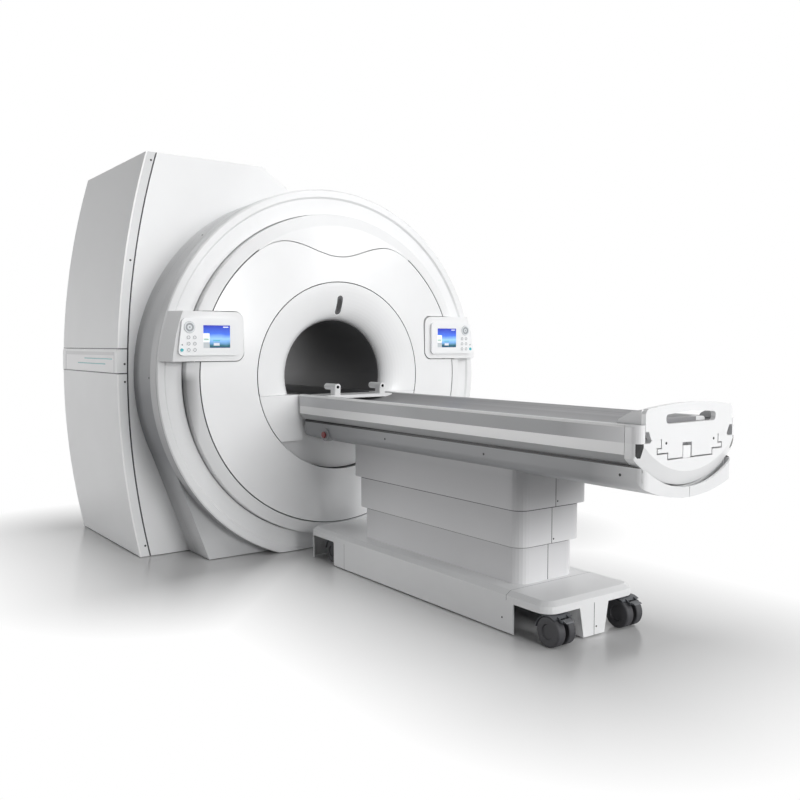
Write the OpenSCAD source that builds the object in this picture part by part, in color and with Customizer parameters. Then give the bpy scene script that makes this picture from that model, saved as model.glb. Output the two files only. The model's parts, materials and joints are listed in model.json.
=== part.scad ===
// MRI scanner: a closed-bore gantry with its magnet cabinet, and a docked patient
// table on casters.  Millimetres.  +Z is up and the bore runs along Y.  The table
// stands on the -Y side.  Lengths along Y are measured from the front edge of the
// gantry's outer ring, and the whole model is then centred on its own box.

/* [Gantry] */
// Height of the bore axis above the floor
bore_z = 941; // [920:1:960]
// Outer radius of the front ring
ring_r = 1000; // [985:1:1010]
// Depth of the front ring along the bore
ring_depth = 82.5; // [70:0.5:95]
// Width of the raised lip round the front ring
ring_lip_w = 40; // [30:1:50]
// Inner radius of the front ring
ring_in_r = 868; // [858:1:880]
// Outer radius of the conical front panel
panel_r = 798; // [790:1:806]
// Radius of the seam round the bore funnel
seam_r = 502; // [495:1:510]
// How far the front panel's outer edge stands in front of the ring
panel_edge_out = 50; // [42:1:58]
// How far the bore seam stands in front of the ring
seam_out = 78.6; // [70:0.1:86]
// Radius of the drum behind the ring
drum_r = 990; // [975:1:995]
// Half width of the drum's skirt at the floor
skirt_half_w = 705; // [690:1:720]
// Angle below the bore axis at which the skirt leaves the drum
skirt_angle = 22; // [20:1:25]
// Inner radius of the patient tunnel
tunnel_r = 300; // [290:1:305]
// Gap between neighbouring cover panels
cover_gap = 4; // [2:0.5:5]
// Wall thickness of the moulded covers
cover_t = 10; // [8:1:12]
// Clearance under every floor-standing cover
floor_gap = 4; // [2:1:8]

/* [Wave seam of the front panel] */
// Height of the seam's dip above the bore axis
wave_dip = 639; // [630:1:645]
// Rise from the dip to the two crests
wave_rise = 65; // [50:1:70]
// Distance of the crests from the middle
wave_crest_x = 310; // [290:1:330]
// Fall from a crest to the seam's end
wave_fall = 62; // [50:1:70]
// Distance of the seam's ends from the middle
wave_end_x = 470; // [460:1:480]

/* [Light window over the bore] */
// Distance of the window's middle from the bore axis
window_r = 380; // [375:1:390]
// Length of the capsule window
window_l = 100; // [80:1:110]
// Width of the capsule window
window_w = 34; // [24:1:40]

/* [Bridge in the bore] */
// Height of the ledge below the bore
ledge_z = 845; // [842:1:850]
// Height of the seam under the bridge cover
bridge_seam_z = 603; // [590:1:620]
// Set-back of the panel under the bridge cover
recess_back = 35; // [25:1:40]

/* [Magnet] */
// Outer radius of the magnet vessel
magnet_r = 850; // [820:1:870]
// Inner radius of the magnet vessel
magnet_bore_r = 445; // [430:1:460]
// Front face of the magnet vessel
magnet_y = 150; // [130:1:170]
// Space between the magnet vessel and the rear of the cabinet
rear_space = 120; // [100:1:180]
// Half width of the plinth under the magnet
plinth_half_w = 600; // [560:1:640]

/* [Cabinet] */
// Front plane of the cabinet
cab_y = 345; // [330:1:360]
// Depth of the cabinet
cab_depth = 985; // [960:1:1000]
// Height of the cabinet
cab_h = 2093; // [2080:1:2110]
// Largest half width of the cabinet, where its sides bulge
cab_half_w = 1072.5; // [1066:0.5:1080]
// Height at which the sides bulge most
cab_bulge_z = 913; // [890:1:940]
// Radius of the bulging sides
cab_side_r = 4190; // [4050:10:4400]
// Width of the front return of the side panels
return_w = 48; // [40:1:55]
// Lower edge of the raised band round the sides
band_z = 962; // [950:1:970]
// Height of the raised band
band_h = 123; // [100:1:130]
// Right end of the high part of the cabinet top, from the middle
turret_x = -245; // [-260:1:-230]
// Height of the low part of the cabinet top
shoulder_z = 1930; // [1920:1:1940]
// Left end of the low part of the cabinet top, from the middle
shoulder_x0 = -10; // [-20:1:0]
// Right end of the low part of the cabinet top, from the middle
shoulder_x1 = 500; // [480:1:520]
// Height at which the slope on the right meets the side
slope_z = 1660; // [1640:1:1680]

/* [Control panels] */
// Lower edge of a control panel's pad
pad_z = 1027; // [1020:1:1032]
// Height of a control panel's pad
pad_h = 243; // [238:1:250]
// Distance of a pad's inner edge from the middle
pad_x = 574; // [568:1:580]
// How far the pad stands in front of the ring
pad_out = 75; // [72:1:80]
// Thickness of the control module on its pad
module_t = 15; // [12:1:18]
// Width of a display
screen_w = 140; // [130:1:146]
// Height of a display
screen_h = 110; // [100:1:116]
// Radius of the navigation dial
dial_r = 27; // [22:1:28]
// Travel of the dial and of the start button
key_travel = 2; // [1.5:0.5:3]

/* [Table top] */
// Distance from the ring to the bore end of the table
table_y0 = 95; // [92:1:105]
// Distance from the ring to the foot end of the table
table_y1 = 2273; // [2260:1:2290]
// Half width of the side rails
rail_half_w = 270; // [266:1:274]
// Top of the side rails
rail_top_z = 850; // [847:1:854]
// Height of a side rail
rail_h = 60; // [56:1:64]
// Thickness of a side rail
rail_t = 30; // [27:1:32]
// Height of the white band below a rail
band_rail_h = 39; // [34:1:44]
// Half width of the hull under the table top
hull_half_w = 250; // [246:1:254]
// Lowest point of the hull
hull_z = 594; // [588:1:600]
// Height of the black gap between hull and table top
hull_gap = 6; // [4:1:8]
// Wall thickness of the hull
hull_t = 8; // [6:1:9]
// Radius of the hull's underside
hull_arc_r = 646; // [600:1:700]
// Travel of the cradle into the bore
cradle_travel = 1350; // [1200:10:1400]

/* [Lift] */
// Half width of the lowest stage
stage_half_w = 160; // [155:1:162]
// Growth of each stage above it
stage_step = 20; // [18:1:22]
// Length of the lowest stage
stage_l = 1100; // [1080:1:1110]
// Middle of the lift, measured from the ring
stage_mid_y = 1070; // [1060:1:1080]
// Visible height of one stage
stage_h = 151.5; // [148:0.5:153]
// Wall of the stages
stage_t = 6; // [5:1:7]
// Travel of the lift
lift_travel = 290; // [270:1:292]
// Radius of a lift column's outer tube
column_r = 60; // [50:1:62]

/* [Cart] */
// Half width of the cart
cart_half_w = 250; // [247:1:253]
// Distance from the ring to the front of the cart
cart_y1 = 1865; // [1860:1:1875]
// Distance from the ring to the rear of the cart
cart_y0 = 147; // [144:1:152]
// Top of the cart's deck
deck_z = 165; // [162:1:166]
// Thickness of the deck
deck_t = 35; // [32:1:36]
// Wall of the cart's skirts
skirt_t = 6; // [5:1:7]
// Diameter of the caster wheels
wheel_d = 115; // [110:1:116]
// Width over a caster's two wheels
wheel_w = 95; // [90:1:96]
// Trail of a caster behind its swivel
caster_trail = 35; // [32:1:36]
// Distance of the front casters from the middle
front_caster_x = 190; // [188:1:192]
// Distance of the rear casters from the middle
rear_caster_x = 170; // [166:1:174]

/* [Hidden] */

// Clearance between curved or sliding faces of pieces that move against each other
slide_gap = 0.3;
// Segments of a large circle and of a small one
big_fn = 180;
small_fn = 48;

// Colours
c_white = [0.93, 0.93, 0.93];
c_grey = [0.72, 0.73, 0.74];
c_dark = [0.25, 0.26, 0.28];
c_metal = [0.6, 0.62, 0.65];
c_teal = [0.25, 0.6, 0.65];
c_red = [0.75, 0.1, 0.1];
c_blue = [0.2, 0.45, 0.8];

// Shift that centres the model's box on the origin
cab_rear = cab_y + cab_depth;
y_shift = (table_y1 - cab_rear) / 2;

function unit(v) = v / norm(v);

// One rounded corner b = [x, y, radius] between its neighbours a and c
function corner(a, b, c, n) =
    b[2] == 0 ? [[b[0], b[1]]] :
    let (p = [b[0], b[1]],
         u = unit([a[0], a[1]] - p),
         v = unit([c[0], c[1]] - p),
         half = acos(u * v) / 2,
         middle = p + unit(u + v) * b[2] / sin(half),
         t0 = p + u * b[2] / tan(half) - middle,
         t1 = p + v * b[2] / tan(half) - middle,
         a0 = atan2(t0[1], t0[0]),
         turn = (atan2(t1[1], t1[0]) - a0 + 540) % 360 - 180)
    [for (k = [0:n]) middle + b[2] * [cos(a0 + turn * k / n), sin(a0 + turn * k / n)]];

// Outline with every corner [x, y, radius] rounded by its own radius
function rounded(c, n = 6) =
    [for (i = [0:len(c) - 1])
        each corner(c[(i + len(c) - 1) % len(c)], c[i], c[(i + 1) % len(c)], n)];

// Rectangle with round corners
function round_rect(x0, y0, x1, y1, r) =
    rounded([[x0, y0, r], [x1, y0, r], [x1, y1, r], [x0, y1, r]]);

// A half outline from the middle outwards, closed by its mirror image
function mirrored(half) =
    concat(half, [for (i = [len(half) - 1:-1:0]) [-half[i][0], half[i][1]]]);

module placed() translate([0, y_shift, 0]) children();

// Revolve a profile [radius, y] about the bore axis
module revolve_y(points, fn = big_fn)
    translate([0, 0, bore_z]) rotate([-90, 0, 0]) rotate_extrude($fn = fn) polygon(points);

// Stretch an X-Z outline from y0 to y1
module along_y(y0, y1)
    translate([0, y1, 0]) rotate([90, 0, 0]) linear_extrude(y1 - y0) children();

// Stretch a Y-Z outline from x0 to x1
module along_x(x0, x1)
    translate([x0, 0, 0]) rotate([90, 0, 90]) linear_extrude(x1 - x0) children();

// Stretch an X-Y outline from z0 to z1
module along_z(z0, z1) translate([0, 0, z0]) linear_extrude(z1 - z0) children();

// Rods along the three axes
module rod_y(x, z, r, y0, y1, fn = small_fn)
    translate([x, y0, z]) rotate([-90, 0, 0]) cylinder(r = r, h = y1 - y0, $fn = fn);
module rod_x(y, z, r, x0, x1, fn = small_fn)
    translate([x0, y, z]) rotate([0, 90, 0]) cylinder(r = r, h = x1 - x0, $fn = fn);
module rod_z(x, y, r, z0, z1, fn = small_fn)
    translate([x, y, z0]) cylinder(r = r, h = z1 - z0, $fn = fn);

// Everything below a height
far = 3000;
module below(z) translate([-far, -far, z - 2 * far]) cube(2 * far);
module above(z) translate([-far, -far, z]) cube(2 * far);

// A piece and its mirror image, or one of the two: side is 1 on the right, -1 on the left
module on_side(side) mirror([side < 0 ? 1 : 0, 0, 0]) children();

// GANTRY

bulkhead_hole_r = seam_r - 30;
frame_in_r = panel_r + cover_gap;
cone_slope = (seam_out - panel_edge_out) / (panel_r - seam_r);
function cone_y(r) = -seam_out + (r - seam_r) * cone_slope;

// The drum: a cylinder standing on a flared skirt
module drum(inset, y0, y1) {
    r = drum_r - inset;
    rod_y(0, bore_z, r, y0, y1, big_fn);
    // The skirt starts just inside the cylinder
    shoulder_r = r * 0.998;
    shoulder = [shoulder_r * cos(skirt_angle), bore_z - shoulder_r * sin(skirt_angle)];
    foot = skirt_half_w - inset / cos(skirt_angle);
    along_y(y0, y1) polygon([
        [-r / 2, bore_z], [r / 2, bore_z], shoulder, [foot, floor_gap],
        [-foot, floor_gap], [-shoulder[0], shoulder[1]]
    ]);
}

module drum_cover() color(c_white) placed() difference() {
    drum(0, ring_depth, cab_y);
    drum(cover_t, ring_depth + cover_t, cab_y + 1);
    rod_y(0, bore_z, bulkhead_hole_r, ring_depth - 1, ring_depth + cover_t + 1, big_fn);
    below(floor_gap);
}

// The front ring: a U-shaped moulding with a bright lip and a shallow scoop
lip_chamfer = 8;
scoop_y = 12;
scoop_edge_y = 9;
scoop_slope_w = 10;
module front_ring() color(c_white) placed() difference() {
    union() {
        revolve_y([
            [ring_r, ring_depth], [ring_r, lip_chamfer], [ring_r - lip_chamfer, 0],
            [ring_r - ring_lip_w, 0], [ring_r - ring_lip_w - scoop_slope_w, scoop_edge_y],
            [ring_in_r, scoop_y], [ring_in_r, ring_depth], [ring_in_r + cover_t, ring_depth],
            [ring_in_r + cover_t, scoop_y + cover_t],
            [ring_r - 1.4 * cover_t, scoop_y + cover_t], [ring_r - 1.4 * cover_t, ring_depth]
        ]);
        for (side = [-1, 1]) on_side(side) panel_pad();
    }
    below(floor_gap);
}

// The pad that carries a control module, blended into the ring's lip
pad_corner = 45;
pad_end_r = ring_r - ring_lip_w - 10;
function pad_outline(grow) = rounded([
    [pad_x - grow, pad_z - grow, pad_corner], [ring_r, pad_z - grow, 0],
    [ring_r, pad_z + pad_h + grow, 0], [pad_x - grow, pad_z + pad_h + grow, pad_corner]
]);
module panel_pad() intersection() {
    along_y(-pad_out, scoop_y + cover_t / 2) polygon(pad_outline(0));
    revolve_y([
        [0, -pad_out], [pad_end_r, -pad_out], [ring_r - lip_chamfer, 1],
        [ring_r - lip_chamfer, scoop_y + cover_t], [0, scoop_y + cover_t]
    ]);
}
module pad_cuts() for (side = [-1, 1]) on_side(side)
    along_y(-2 * pad_out, ring_depth / 2) polygon(pad_outline(cover_gap));

// The wave that parts the front panel from the frame above it
function wave_z(x) = bore_z + wave_dip + (abs(x) < wave_crest_x
    ? wave_rise * (1 - cos(180 * x / wave_crest_x)) / 2
    : wave_rise - wave_fall * pow((abs(x) - wave_crest_x) / (wave_end_x - wave_crest_x), 2));
wave_steps = 40;
function over_wave(gap) = concat(
    [for (k = [-wave_steps:wave_steps])
        let (x = k / wave_steps * wave_end_x) [x * (1 + gap / wave_end_x), wave_z(x) - gap]],
    [[wave_end_x + gap, bore_z + ring_r], [-wave_end_x - gap, bore_z + ring_r]]
);

// Front panel and frame: one cone, parted by the wave
cone_in_r = seam_r + cover_gap / 2;
frame_edge_y = -32;
frame_out_r = ring_in_r - cover_gap;
module under_wave() along_y(-2 * seam_out, 2 * ring_depth) polygon(concat(
    [[ring_r, 0], [ring_r, bore_z + ring_r], [wave_end_x, bore_z + ring_r]],
    [for (k = [wave_steps:-1:-wave_steps])
        let (x = k / wave_steps * wave_end_x) [x, wave_z(x)]],
    [[-wave_end_x, bore_z + ring_r], [-ring_r, bore_z + ring_r], [-ring_r, 0]]
));

module front_frame() color(c_white) placed() difference() {
    revolve_y([
        [frame_out_r, ring_depth], [frame_out_r, frame_edge_y + 4],
        [frame_out_r - 4, frame_edge_y], [frame_in_r, cone_y(frame_in_r)],
        [cone_in_r, cone_y(cone_in_r)], [cone_in_r, cone_y(cone_in_r) + cover_t],
        [frame_in_r, cone_y(frame_in_r) + cover_t],
        [frame_out_r - cover_t, frame_edge_y + 1.5 * cover_t], [frame_out_r - cover_t, ring_depth]
    ]);
    intersection() {
        rod_y(0, bore_z, frame_in_r, -2 * seam_out, ring_depth / 2, big_fn);
        under_wave();
    }
    pad_cuts();
}

module front_panel() color(c_white) placed() difference() {
    revolve_y([
        [cone_in_r, cone_y(cone_in_r)], [panel_r, cone_y(panel_r)],
        [panel_r, ring_depth], [panel_r - cover_t, ring_depth],
        [panel_r - cover_t, cone_y(panel_r) + cover_t],
        [cone_in_r + cover_t, cone_y(cone_in_r) + cover_t],
        [cone_in_r + cover_t, -seam_out / 4], [cone_in_r, -seam_out / 4]
    ]);
    along_y(-2 * seam_out, 2 * ring_depth) polygon(over_wave(cover_gap));
    pad_cuts();
}

// The funnel: a quarter ellipse from the seam into the tunnel
funnel_out_r = seam_r - cover_gap / 2;
funnel_in_r = tunnel_r + 5;
funnel_steps = 14;
function funnel_curve(t, sink, turn) = [
    for (k = [0:funnel_steps])
        let (a = turn > 0 ? 90 * k / funnel_steps : 90 - 90 * k / funnel_steps)
        [funnel_out_r - t - (funnel_out_r - funnel_in_r - 2 * t) * sin(a),
         -seam_out + sink + (seam_out + scoop_y - sink) * (1 - cos(a))]
];
function funnel_profile(sink) = concat(
    funnel_curve(0, sink, 1), funnel_curve(cover_t, cover_t, -1),
    [[funnel_out_r - cover_t, ring_depth], [funnel_out_r, ring_depth]]
);
function capsule(z, l, w) =
    concat([for (a = [0:15:180]) [w / 2 * cos(a), z + l / 2 - w / 2 + w / 2 * sin(a)]],
           [for (a = [180:15:360]) [w / 2 * cos(a), z - l / 2 + w / 2 + w / 2 * sin(a)]]);

module bore_funnel() color(c_white) placed() difference() {
    revolve_y(funnel_profile(0));
    below(ledge_z + 1);
    along_y(-2 * seam_out, 2 * ring_depth)
        polygon(capsule(bore_z + window_r, window_l + 2 * slide_gap, window_w + 2 * slide_gap));
}

module light_window() color(c_dark) placed() intersection() {
    revolve_y(funnel_profile(1.5));
    along_y(-2 * seam_out, ring_depth - 20) polygon(capsule(bore_z + window_r, window_l, window_w));
}

// Distance from the ring to the bore end of the cradle
cradle_y0 = table_y0 + 5;
// Outline of the groove that the cradle runs in
cradle_half_w = rail_half_w - rail_t - 6;
shoulder_half_w = cradle_half_w - 30;
block_half_w = 150;
groove_floor = rail_top_z - 78.3;
groove_shoulder = rail_top_z - 50.3;
function groove_outline(top) = [
    [-cradle_half_w - 6, top], [-cradle_half_w - 6, groove_shoulder],
    [-block_half_w - 5, groove_shoulder], [-block_half_w - 5, groove_floor],
    [block_half_w + 5, groove_floor], [block_half_w + 5, groove_shoulder],
    [cradle_half_w + 6, groove_shoulder], [cradle_half_w + 6, top]
];

module bridge_cover() color(c_white) placed() difference() {
    rod_y(0, bore_z, funnel_out_r, -seam_out, ring_depth, big_fn);
    above(ledge_z);
    below(bridge_seam_z + cover_gap / 2);
    along_y(-2 * seam_out, 2 * ring_depth) polygon(groove_outline(ledge_z + 50));
    // Hollow behind the face
    intersection() {
        rod_y(0, bore_z, funnel_out_r - cover_t, cover_t - seam_out, ring_depth + 1, big_fn);
        below(groove_floor - cover_t);
    }
    rod_y(0, bore_z, tunnel_r + cover_t + 3, scoop_y, ring_depth + 1, big_fn);
}

module recess_panel() color(c_white) placed() difference() {
    rod_y(0, bore_z, funnel_out_r, recess_back - seam_out, ring_depth, big_fn);
    rod_y(0, bore_z, funnel_out_r - cover_t, recess_back - seam_out + cover_t, ring_depth + 1, big_fn);
    above(bridge_seam_z - cover_gap / 2);
}

liner_t = 12;
magnet_end = cab_rear - rear_space;
coil_out = 30;
liner_end = magnet_end + coil_out + 20;
module bore_liner() color(c_dark) placed() revolve_y([
    [tunnel_r, scoop_y], [tunnel_r + liner_t, scoop_y],
    [tunnel_r + liner_t, liner_end], [tunnel_r, liner_end]
]);

module bore_bridge() color(c_dark) placed() difference() {
    rod_y(0, bore_z, tunnel_r - slide_gap, scoop_y, liner_end, big_fn);
    above(ledge_z);
    // The groove ends in a stop just behind the cradle's farthest place
    along_y(-1, cradle_travel - cradle_y0 + 2) polygon(groove_outline(ledge_z + 50));
    intersection() {
        rod_y(0, bore_z, tunnel_r - cover_t, scoop_y + 20, liner_end - 20, big_fn);
        below(groove_floor - cover_t);
    }
}

module coil_assembly() color(c_metal) placed() revolve_y([
    [tunnel_r + liner_t + slide_gap, magnet_y - coil_out],
    [magnet_bore_r - slide_gap, magnet_y - coil_out],
    [magnet_bore_r - slide_gap, magnet_end + coil_out],
    [tunnel_r + liner_t + slide_gap, magnet_end + coil_out]
]);

vessel_round = 40;
module magnet_vessel() color(c_metal) placed() revolve_y(rounded([
    [magnet_bore_r, magnet_y, 0], [magnet_r, magnet_y, vessel_round],
    [magnet_r, magnet_end, vessel_round], [magnet_bore_r, magnet_end, 0]
]));

plinth_h = 340;
module base_plinth() color(c_grey) placed() difference() {
    along_y(magnet_y + 50, magnet_end - 50) polygon([
        [-plinth_half_w - 20, 0], [plinth_half_w + 20, 0],
        [plinth_half_w, plinth_h], [-plinth_half_w, plinth_h]
    ]);
    rod_y(0, bore_z, magnet_r + slide_gap, magnet_y, magnet_end, big_fn);
}

rear_flare = 115;
module rear_funnel() color(c_white) placed() revolve_y(concat(
    [for (k = [0:funnel_steps]) let (a = 90 * k / funnel_steps)
        [tunnel_r + rear_flare * (1 - cos(a)), liner_end + (cab_rear - liner_end) * sin(a)]],
    [for (k = [funnel_steps:-1:0]) let (a = 90 * k / funnel_steps)
        [tunnel_r + cover_t + rear_flare * (1 - cos(a)),
         liner_end + (cab_rear - liner_end - cover_t) * sin(a)]]
));

// CONTROL PANELS

panel_y = -pad_out - module_t;
module_z0 = pad_z + 28;
module_z1 = pad_z + pad_h - 35;
module_x = pad_x + 36;
screen_x = module_x + 45;
screen_z = module_z0 + 37;
dial_x = 865;
dial_z = module_z1 - 44;
start_x = 905;
module_foot_x = 925;
module_head_x = 900;
start_z = module_z0 + 27;
start_r = 8;
cap_y0 = panel_y - key_travel - 1;
cap_y1 = panel_y + 6;
key_x = [840, 871];
key_w = 22;
key_h = 17;
key_pitch = 30;
module panel_module(side) placed() on_side(side) difference() {
    union() {
        along_y(panel_y, -pad_out) polygon(rounded([
            [module_x, module_z0, 18], [module_foot_x, module_z0, 24],
            [module_head_x, module_z1, 24], [module_x, module_z1, 18]
        ]));
        // Sealed keys
        for (x = key_x, row = [0:2])
            along_y(panel_y - 1.5, panel_y + 1) polygon(round_rect(
                x - key_w / 2, start_z - 8 + row * key_pitch,
                x + key_w / 2, start_z - 8 + row * key_pitch + key_h, 5));
    }
    along_y(panel_y - 1, panel_y + 3) square_at(screen_x, screen_z, screen_w, screen_h);
    rod_y(dial_x, dial_z, dial_r + slide_gap, panel_y - 1, -pad_out - 3);
    rod_y(start_x, start_z, start_r + slide_gap, panel_y - 1, -pad_out - 3);
}
module square_at(x, z, w, h) translate([x, z]) square([w, h]);
module panel_module_left() color(c_white) panel_module(-1);
module panel_module_right() color(c_white) panel_module(1);

module display_screens() color(c_blue) placed() for (side = [-1, 1]) on_side(side)
    along_y(panel_y + 0.8, panel_y + 3)
        square_at(screen_x + slide_gap, screen_z + slide_gap,
                  screen_w - 2 * slide_gap, screen_h - 2 * slide_gap);

// The dial: a dished ring round a button, pressed like a key
module dial(side) placed() on_side(side) difference() {
    rod_y(dial_x, dial_z, dial_r, cap_y0, cap_y1);
    difference() {
        rod_y(dial_x, dial_z, dial_r * 0.75, cap_y0 - 1, cap_y0 + 1.5);
        rod_y(dial_x, dial_z, dial_r * 0.4, cap_y0 - 2, cap_y0 + 3);
    }
}
module dial_left() color(c_grey) dial(-1);
module dial_right() color(c_grey) dial(1);

module start_button(side) placed() on_side(side)
    rod_y(start_x, start_z, start_r, cap_y0, cap_y1);
module start_button_left() color(c_teal) start_button(-1);
module start_button_right() color(c_teal) start_button(1);

// CABINET

// Half width of the bulging side at a height
function side_x(z) = cab_half_w - cab_side_r
    + sqrt(pow(cab_side_r, 2) - pow(z - cab_bulge_z, 2));
slope_fall = (shoulder_z - slope_z) / (side_x(slope_z) - shoulder_x1);
side_fn = 360;

// The cabinet's outline seen from the front
module cab_shape(inset, drop) intersection() {
    for_side(1, inset);
    for_side(-1, inset);
    polygon([
        [-cab_half_w - 50, floor_gap], [cab_half_w + 50, floor_gap],
        [cab_half_w + 50, shoulder_z - drop - slope_fall * (cab_half_w + 50 - shoulder_x1)],
        [shoulder_x1, shoulder_z - drop], [shoulder_x0, shoulder_z - drop],
        [turret_x, cab_h - drop], [-cab_half_w - 50, cab_h - drop]
    ]);
}
module for_side(side, inset)
    translate([side * (cab_half_w - cab_side_r), cab_bulge_z])
        circle(r = cab_side_r - inset, $fn = side_fn);

// A strip along one bulging side, from z0 to z1
module side_strip(side, z0, z1, outset, inset) difference() {
    intersection() {
        for_side(side, -outset);
        translate([side > 0 ? cab_half_w / 2 : -cab_half_w * 1.5, z0])
            square([cab_half_w, z1 - z0]);
    }
    for_side(side, inset);
}

return_t = 15;
module side_panel(side, z0, z1) placed() {
    along_y(cab_y, cab_rear) intersection() {
        side_strip(side, z0, z1, 0, cover_t);
        cab_shape(0, 0);
    }
    along_y(cab_y, cab_y + return_t) intersection() {
        side_strip(side, z0, z1, 0, return_w);
        cab_shape(0, 0);
    }
}
module side_upper_left() color(c_white) side_panel(-1, band_z + band_h, cab_h);
module side_upper_right() color(c_white) side_panel(1, band_z + band_h, shoulder_z);
module side_lower_left() color(c_white) side_panel(-1, floor_gap, band_z);
module side_lower_right() color(c_white) side_panel(1, floor_gap, band_z);

// The band stands a little proud and laps behind the panels above and below it
band_proud = 3;
band_lap = 15;
band_seam = 1.5;
module side_band(side) placed() {
    along_y(cab_y, cab_rear)
        side_strip(side, band_z + band_seam, band_z + band_h - band_seam, band_proud, cover_t);
    along_y(cab_y, cab_y + return_t)
        side_strip(side, band_z + band_seam, band_z + band_h - band_seam, band_proud, return_w);
    along_y(cab_y + return_t + 8, cab_rear - rear_t - 4) {
        side_strip(side, band_z - band_lap, band_z + band_h + band_lap,
                   -cover_t - slide_gap, cover_t + 8);
        side_strip(side, band_z + band_seam, band_z + band_h - band_seam, 0, cover_t + 8);
    }
}
module side_band_left() color(c_grey) side_band(-1);
module side_band_right() color(c_grey) side_band(1);

front_flange_t = 6;
module cabinet_front() color(c_white) placed() difference() {
    union() {
        along_y(cab_y, cab_y + return_t) cab_shape(return_w + cover_gap, 0);
        along_y(cab_y + return_t, cab_y + return_t + front_flange_t) cab_shape(return_w - 20, cover_t);
    }
    drum(6 * cover_t, cab_y - 1, cab_y + 2 * return_t);
    below(floor_gap);
}

// The roof starts behind the front cover, with a fine seam
module cabinet_top() color(c_white) placed() along_y(cab_y + return_t + band_seam, cab_rear) difference() {
    cab_shape(cover_t + slide_gap, 0);
    cab_shape(0, cover_t);
}

// Louvres in the rear cover, low on both sides
louvre_w = 260;
louvre_h = 14;
louvre_rows = 9;
louvre_x = 500;
louvre_z = 150;
rear_t = 20;
module cabinet_rear() color(c_white) placed() difference() {
    along_y(cab_rear - rear_t, cab_rear) cab_shape(cover_t + slide_gap, cover_t);
    rod_y(0, bore_z, tunnel_r + cover_t + rear_flare + slide_gap,
          cab_rear - 2 * rear_t, cab_rear + 1, big_fn);
    for (side = [-1, 1], row = [0:louvre_rows - 1]) on_side(side)
        translate([louvre_x, cab_rear - 2 * rear_t, louvre_z + row * 2.2 * louvre_h])
            cube([louvre_w, 3 * rear_t, louvre_h]);
}

// TABLE TOP

rail_in = rail_half_w - rail_t;
band_top = rail_top_z - rail_h;
band_bottom = band_top - band_rail_h;
undercut_h = 31;
frame_bottom = band_bottom - undercut_h;
hull_top = frame_bottom - hull_gap;
lip_bottom = hull_top - 8;
tray_floor = lip_bottom + 22;
cap_l = 58;

// The hull's corners and underside, as half an outline offset inwards by t
hull_corner_r = 35;
function hull_half(t, top) = concat(
    [[0, top], [hull_half_w - t, top]],
    [for (a = [0:-10:-80])
        [hull_half_w - hull_corner_r, hull_z + 74] + (hull_corner_r - t) * [cos(a), sin(a)]],
    [for (x = [200:-20:0]) [x, hull_z + hull_arc_r - sqrt(pow(hull_arc_r - t, 2) - x * x)]]
);

// The arc in the foot end where the end cap meets the hull
cap_arc_z = hull_z + 445;
cap_arc_r = 404;
cap_face_r = 356;
cap_bevel = 22;
end_corner = 30;

stage_z = [deck_z, deck_z + stage_h, deck_z + 2 * stage_h];
function stage_w(i) = stage_half_w + i * stage_step;
function stage_plan(i, grow) = round_rect(
    -stage_w(i) - grow, -stage_mid_y - stage_l / 2 - i * stage_step - grow,
    stage_w(i) + grow, -stage_mid_y + stage_l / 2 + i * stage_step + grow, 55 + grow);

estop_y = -328;
estop_z = hull_z + 62;
estop_house_r = 32;
estop_stem_r = 10;
estop_out = 8;
module hull_shell(side) placed() on_side(side) difference() {
    union() {
        intersection() {
            difference() {
                along_y(-table_y1, -table_y0) polygon(hull_half(0, hull_top));
                along_y(-table_y1 + hull_t, -table_y0 - hull_t) polygon(hull_half(hull_t, hull_top + 1));
            }
            along_z(hull_z - 1, hull_top + 1) polygon(round_rect(
                -hull_half_w, -table_y1, hull_half_w, -table_y0, end_corner));
        }
        // Ledge that carries the table frame
        along_y(-table_y1 + cap_l + 6, -table_y0 - hull_t)
            square_at(stage_w(2) + 12, lip_bottom - 16, hull_half_w - hull_t / 2 - stage_w(2) - 12, 16);
        // Foot wall below the end cap
        difference() {
            along_y(-table_y1 + end_corner, -table_y1 + cap_l + 10) polygon(hull_half(1, lip_bottom));
            along_y(-table_y1, -table_y1 + cap_l + 11) square_at(stage_w(2), lip_bottom, hull_half_w, 50);
        }
        rod_x(estop_y, estop_z, estop_house_r, hull_half_w - 25, hull_half_w + estop_out);
    }
    // Half of the hull only, with a fine seam in the middle
    translate([-far + 1, -far, 0]) cube([far, 2 * far, far]);
    // Rest of the table frame on the wall at the bore end
    along_y(-table_y0 - hull_t - 1, -table_y0 + 1)
        square_at(0, lip_bottom, hull_half_w - hull_t - 5, 2 * hull_gap);
    // Arc of the end cap
    rod_y(0, cap_arc_z, cap_arc_r + hull_gap, -table_y1 - 1, -table_y1 + cap_l + 2, big_fn);
    along_z(0, hull_top) polygon(stage_plan(2, 3));
    rod_x(estop_y, estop_z, estop_stem_r + slide_gap, hull_half_w - 7, hull_half_w + estop_out + 1);
}
module hull_left() color(c_white) hull_shell(-1);
module hull_right() color(c_white) hull_shell(1);

estop_head_r = 17;
estop_travel = 4;
module estop(side) placed() on_side(side) {
    rod_x(estop_y, estop_z, estop_stem_r, hull_half_w - 2, hull_half_w + estop_out + 6);
    translate([hull_half_w + estop_out + estop_travel + 1, estop_y, estop_z]) rotate([0, 90, 0])
        rotate_extrude($fn = small_fn) polygon(rounded([
            [0, 0, 0], [estop_head_r, 0, 1.5], [estop_head_r, 8, 5], [0, 9, 0]]));
}
module estop_left() color(c_red) estop(-1);
module estop_right() color(c_red) estop(1);

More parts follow.
